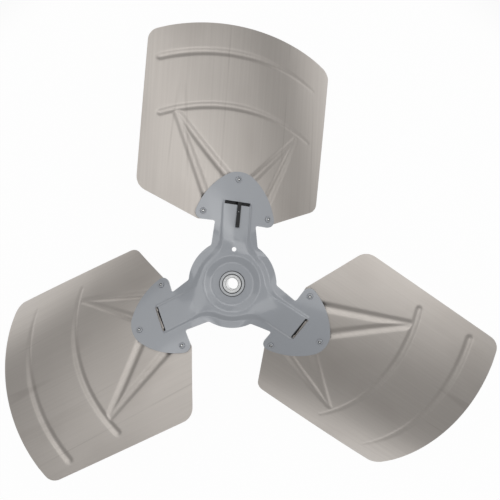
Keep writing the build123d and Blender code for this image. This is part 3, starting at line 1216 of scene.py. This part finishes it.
@dataclass
class Hub:
    """The turned hub: barrel below the spider, collar above it and a grooved nose, in millimetres.

    The groove and a thin lip at the foot of the collar, where it is staked to the spider, are
    painted near black as shade.
    """

    bore: float = 6.35
    barrel: float = 14.3
    barrel_length: float = 24.0
    shoulder: float = -0.05
    neck: float = 10.3
    seat: float = 2.05
    collar: float = 13.3
    collar_height: float = 1.6
    nose: float = 9.8
    nose_height: float = 2.6
    groove_width: float = 0.8
    groove_depth: float = 0.9
    break_edge: float = 0.4
    bore_chamfer: float = 0.5
    shade_lip: float = 0.55
    shade_lip_height: float = 0.15
    screw_hole: float = 4.05
    screw_level: float = 13.0
    screw_steps: int = 44
    steps: int = 96
    sharp: float = 30.0

    def screw_drill(self) -> bmesh.types.BMesh:
        """Makes the drill for the set screw's hole, from the axis out through the barrel.

        Returns:
            The drill.
        """
        drill = bmesh.new()
        length = 2.0 * self.barrel
        size = {"radius1": self.screw_hole, "radius2": self.screw_hole, "depth": length}
        bmesh.ops.create_cone(drill, cap_ends=True, segments=self.screw_steps, **size)
        tilt = Matrix.Rotation(math.pi / 2.0, 3, "X")
        bmesh.ops.rotate(drill, matrix=tilt, verts=drill.verts)
        place = (0.0, -length / 2.0, -self.screw_level)
        bmesh.ops.translate(drill, vec=place, verts=drill.verts)
        return drill

    def build(self) -> None:
        """Turns the hub, drills it and plates it."""
        top, rim = self.seat + self.nose_height, self.seat + self.collar_height
        small = self.break_edge
        solid = turned_solid([
            (self.bore, -self.barrel_length),
            (self.barrel - small, -self.barrel_length),
            (self.barrel, small - self.barrel_length),
            (self.barrel, self.shoulder),
            (self.neck, self.shoulder),
            (self.neck, self.seat),
            (self.collar + self.shade_lip, self.seat),
            (self.collar + self.shade_lip, self.seat + self.shade_lip_height),
            (self.collar, self.seat + self.shade_lip_height),
            (self.collar, rim - small),
            (self.collar - small, rim),
            (self.nose + self.groove_width, rim),
            (self.nose + self.groove_width, rim - self.groove_depth),
            (self.nose, rim - self.groove_depth),
            (self.nose, top - small),
            (self.nose - small, top),
            (self.bore + self.bore_chamfer, top),
            (self.bore, top - self.bore_chamfer),
        ], self.steps)
        solid = drilled(solid, self.screw_drill())
        finishes = (Finish.HUB, Finish.PAINTED_SHADE, Finish.COLLAR)
        for face in solid.faces:
            centre = face.calc_center_median()
            radius = centre.xy.length
            if centre.z < self.seat or radius < self.nose:
                continue
            # The groove and the lip at the collar's foot get painted shade; the rest of the collar
            # gets the duller plate.
            in_groove = radius < self.nose + self.groove_width and centre.z < rim - small
            shade_painted = in_groove or radius > self.collar
            face.material_index = finishes.index(Finish.PAINTED_SHADE if shade_painted else Finish.COLLAR)
        mark_sharp(solid, self.sharp)
        materials = [finish.material() for finish in finishes]
        finish_piece("turned_hub", solid, materials, "hub")


@dataclass
class Rivets:
    """Nine set rivets that hold the blades to the pads, in millimetres.

    The shapes of head and tail are shares of their radius and height, from the lower end up.
    """

    camber: Camber
    pattern: RivetPattern
    pad_top: float = 2.15
    sheet: float = 1.35
    shank: float = 2.0
    head: float = 3.3
    head_height: float = 1.1
    head_shape: tuple[tuple[float, float], ...] = (
        (1.0, 0.0), (1.0, 0.35), (0.8, 0.85), (0.55, 1.0)
    )
    foot_shade_height: float = 0.33
    dimple: float = 1.7
    dimple_depth: float = 0.6
    dimple_floor: float = 1.19
    tail: float = 3.2
    tail_height: float = 1.3
    tail_shape: tuple[tuple[float, float], ...] = (
        (0.0, -1.0), (0.7, -1.0), (1.0, -0.5), (1.0, 0.0)
    )
    steps: int = 24
    sharp: float = 50.0

    def rivet(self, finishes: tuple[Finish, ...]) -> bmesh.types.BMesh:
        """Forms one upright rivet whose hollow end is bare, with painted shade on its dimple's wall
        and round the foot of its head.

        Args:
            finishes: The finishes in the order of their material numbers.

        Returns:
            The rivet, over the blade's outer face.
        """
        top, under = self.pad_top, -self.sheet
        crest = top + self.head_height
        profile = [(self.tail * r, under + self.tail_height * h) for r, h in self.tail_shape]
        profile += [(self.shank, under), (self.shank, top)]
        profile += [(self.head * r, top + self.head_height * h) for r, h in self.head_shape]
        profile += [(self.dimple, crest), (self.dimple_floor, crest - self.dimple_depth)]
        profile += [(0.0, crest - self.dimple_depth)]
        rivet = turned_solid(profile, self.steps)
        for face in rivet.faces:
            centre = face.calc_center_median()
            radius = centre.xy.length
            if centre.z <= top:
                continue
            # The dimple's floor stays bare; its wall and a ring round the head's foot get painted
            # shade.
            if radius < self.dimple_floor:
                face.material_index = finishes.index(Finish.HUB)
            elif radius < self.dimple or centre.z < top + self.foot_shade_height:
                face.material_index = finishes.index(Finish.PAINTED_SHADE)
        return rivet

    def build(self) -> None:
        """Sets the painted rivets square to the sheet, all as one piece."""
        finishes = (Finish.SPIDER, Finish.PAINTED_SHADE, Finish.HUB)
        base = self.camber.pad_point(self.pattern.places(), 0.0)
        sheet = self.camber.on_sheet(base)
        normals = self.camber.from_sheet(sheet, 1.0) - self.camber.from_sheet(sheet, 0.0)
        together = bmesh.new()
        for angle in ARM_ANGLES:
            for spot, normal in zip(turned(base, angle), turned(normals, angle)):
                rivet = self.rivet(finishes)
                upright = Vector((0, 0, 1)).rotation_difference(Vector(normal))
                rivet.transform(Matrix.Translation(spot) @ upright.to_matrix().to_4x4())
                mesh = keep_mesh("rivet", rivet)
                together.from_mesh(mesh)
                bpy.data.meshes.remove(mesh)
        mark_sharp(together, self.sharp)
        materials = [finish.material() for finish in finishes]
        finish_piece("set_rivets", together, materials, "rivets")


@dataclass
class Studio:
    """The plain floor, the soft light and the camera, in metres."""

    camera_place: Triple = (0.04765, 0.03015, 0.71532)
    camera_turn: Triple = (0.7045, 2.4368, 3.5122)
    lens: float = 48.304
    sensor: float = 36.0
    floor_half: float = 6.0
    floor_colour: str = "#f4f4f4"
    floor_glow: float = 0.97
    pool_inner: float = 0.43
    pool_outer: float = 0.8
    top_place: Triple = (0.03, 0.01, 0.9)
    top_reach: float = 0.34
    top_size: float = 0.42
    top_glows: tuple[float, ...] = (1.2, 1.05, 0.78, 0.78)
    side_boxes: tuple[tuple[str, Triple, float, float], ...] = (
        ("right softbox", (1.2, 0.4, 1.25), 1.4, 0.5),
        ("left softbox", (-0.8, 0.8, 1.2), 1.2, 0.45),
    )
    room_glow: float = 0.38

    def floor_material(self) -> bpy.types.Material:
        """Builds a pale matt floor that keeps the fan's shadow.

        The camera and mirrors see it as white round the fan and as the room's grey farther out.

        Returns:
            The material.
        """
        material, tree = new_material("pale matt floor")
        path = add_node(tree, "ShaderNodeLightPath")
        seen = path.outputs["Is Camera Ray"]
        for ray in ("Is Glossy Ray", "Is Transmission Ray"):
            rays = {0: seen, 1: path.outputs[ray]}
            seen = add_node(tree, "ShaderNodeMath", rays, operation="MAXIMUM").outputs["Value"]
        colour = {"Color": linear_colour(self.floor_colour)}
        matt = add_node(tree, "ShaderNodeBsdfDiffuse", colour)
        where = add_node(tree, "ShaderNodeTexCoord").outputs["Object"]
        reach = add_node(tree, "ShaderNodeVectorMath", {0: where}, operation="LENGTH")
        pool = {"From Min": self.pool_inner, "From Max": self.pool_outer}
        pool.update({"Value": reach.outputs["Value"], "To Min": 1.0, "To Max": self.room_glow})
        fade = add_node(tree, "ShaderNodeMapRange", pool, interpolation_type="SMOOTHSTEP")
        white = {"Color": WHITE, "Strength": fade.outputs["Result"]}
        glow = add_node(tree, "ShaderNodeEmission", white)
        part = {0: seen, 1: self.floor_glow}
        share = add_node(tree, "ShaderNodeMath", part, operation="MULTIPLY")
        layers = {0: share.outputs["Value"], 1: matt.outputs["BSDF"], 2: glow.outputs["Emission"]}
        mix = add_node(tree, "ShaderNodeMixShader", layers)
        add_node(tree, "ShaderNodeOutputMaterial", {"Surface": mix.outputs["Shader"]})
        return material

    def build_floor(self) -> None:
        """Lays the floor under the fan's lowest corners."""
        plane = bmesh.new()
        bmesh.ops.create_grid(plane, x_segments=1, y_segments=1, size=self.floor_half)
        bmesh.ops.translate(plane, vec=(0.0, 0.0, CAD_BOX[0].z), verts=plane.verts)
        mesh = keep_mesh("floor", plane)
        mesh.materials.append(self.floor_material())
        floor = link_object("floor", mesh)
        floor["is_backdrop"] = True

    def add_softbox(self, name: str, place: Triple, size: float, glow: float) -> None:
        """Hangs a square softbox that faces the fan.

        Args:
            name: The lamp's name.
            place: Where its centre is.
            size: The length of its sides.
            glow: How bright its face looks, where 1 is white.
        """
        lamp = bpy.data.lights.new(name, "AREA")
        lamp.shape, lamp.size, lamp.energy = "SQUARE", size, math.pi * size ** 2 * glow
        softbox = link_object(name, lamp)
        softbox.location = place
        softbox.rotation_euler = Vector(place).to_track_quat("Z", "Y").to_euler()

    def build_light(self) -> None:
        """Lights the fan from above and from both sides, in an evenly lit room."""
        # Four softboxes stand round the camera, so that level faces mirror the gap between them
        # and bends glint.
        x, y, z = self.top_place
        for number, glow in enumerate(self.top_glows):
            angle = number * FULL_TURN / len(self.top_glows)
            spot = (x + self.top_reach * math.cos(angle), y + self.top_reach * math.sin(angle), z)
            self.add_softbox(f"top softbox {number + 1}", spot, self.top_size, glow)
        for box in self.side_boxes:
            self.add_softbox(*box)
        world = bpy.data.worlds.new("studio room")
        world.use_nodes = True
        tree = world.node_tree
        tree.nodes.clear()
        room = {"Color": WHITE, "Strength": self.room_glow}
        background = add_node(tree, "ShaderNodeBackground", room)
        add_node(tree, "ShaderNodeOutputWorld", {"Surface": background.outputs["Background"]})
        bpy.context.scene.world = world

    def build_camera(self) -> None:
        """Sets the camera at the photograph's place."""
        lens = bpy.data.cameras.new("camera")
        lens.lens, lens.sensor_width = self.lens, self.sensor
        camera = link_object("camera", lens)
        camera.location = self.camera_place
        camera.rotation_euler = Euler([math.radians(angle) for angle in self.camera_turn])
        bpy.context.scene.camera = camera

    def build(self) -> None:
        """Builds the studio round the fan."""
        self.build_floor()
        self.build_light()
        self.build_camera()
        bpy.context.scene.view_settings.view_transform = "Standard"


def dress_node(name: str, finish: Finish) -> None:
    """Gives a CAD node that stays in view its finish.

    Args:
        name: The node.
        finish: The finish.
    """
    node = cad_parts[name]
    node.data.materials.clear()
    node.data.materials.append(finish.material())
    LOG.info("%s: CAD node in %s", name, node.data.materials[0].name)


def write_sizes() -> None:
    """Works out the CAD box and the dressed fan's box, and keeps neither."""
    boxes = {"cad": CAD_BOX, "visual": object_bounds()}
    {name: [list(corner) for corner in box] for name, box in boxes.items()}


def main() -> None:
    """Builds the fan piece by piece, then the studio."""
    logging.basicConfig(level=logging.INFO, format="%(name)s %(message)s")
    camber = Camber()
    pattern = RivetPattern()
    Blade(camber, pattern).build()
    Spider(camber, pattern).build()
    Hub().build()
    Rivets(camber, pattern).build()
    dress_node("set_screw", Finish.CLIP)
    dress_node("balance_clip", Finish.CLIP)
    Studio().build()
    write_sizes()


if __name__ == "__main__":
    main()
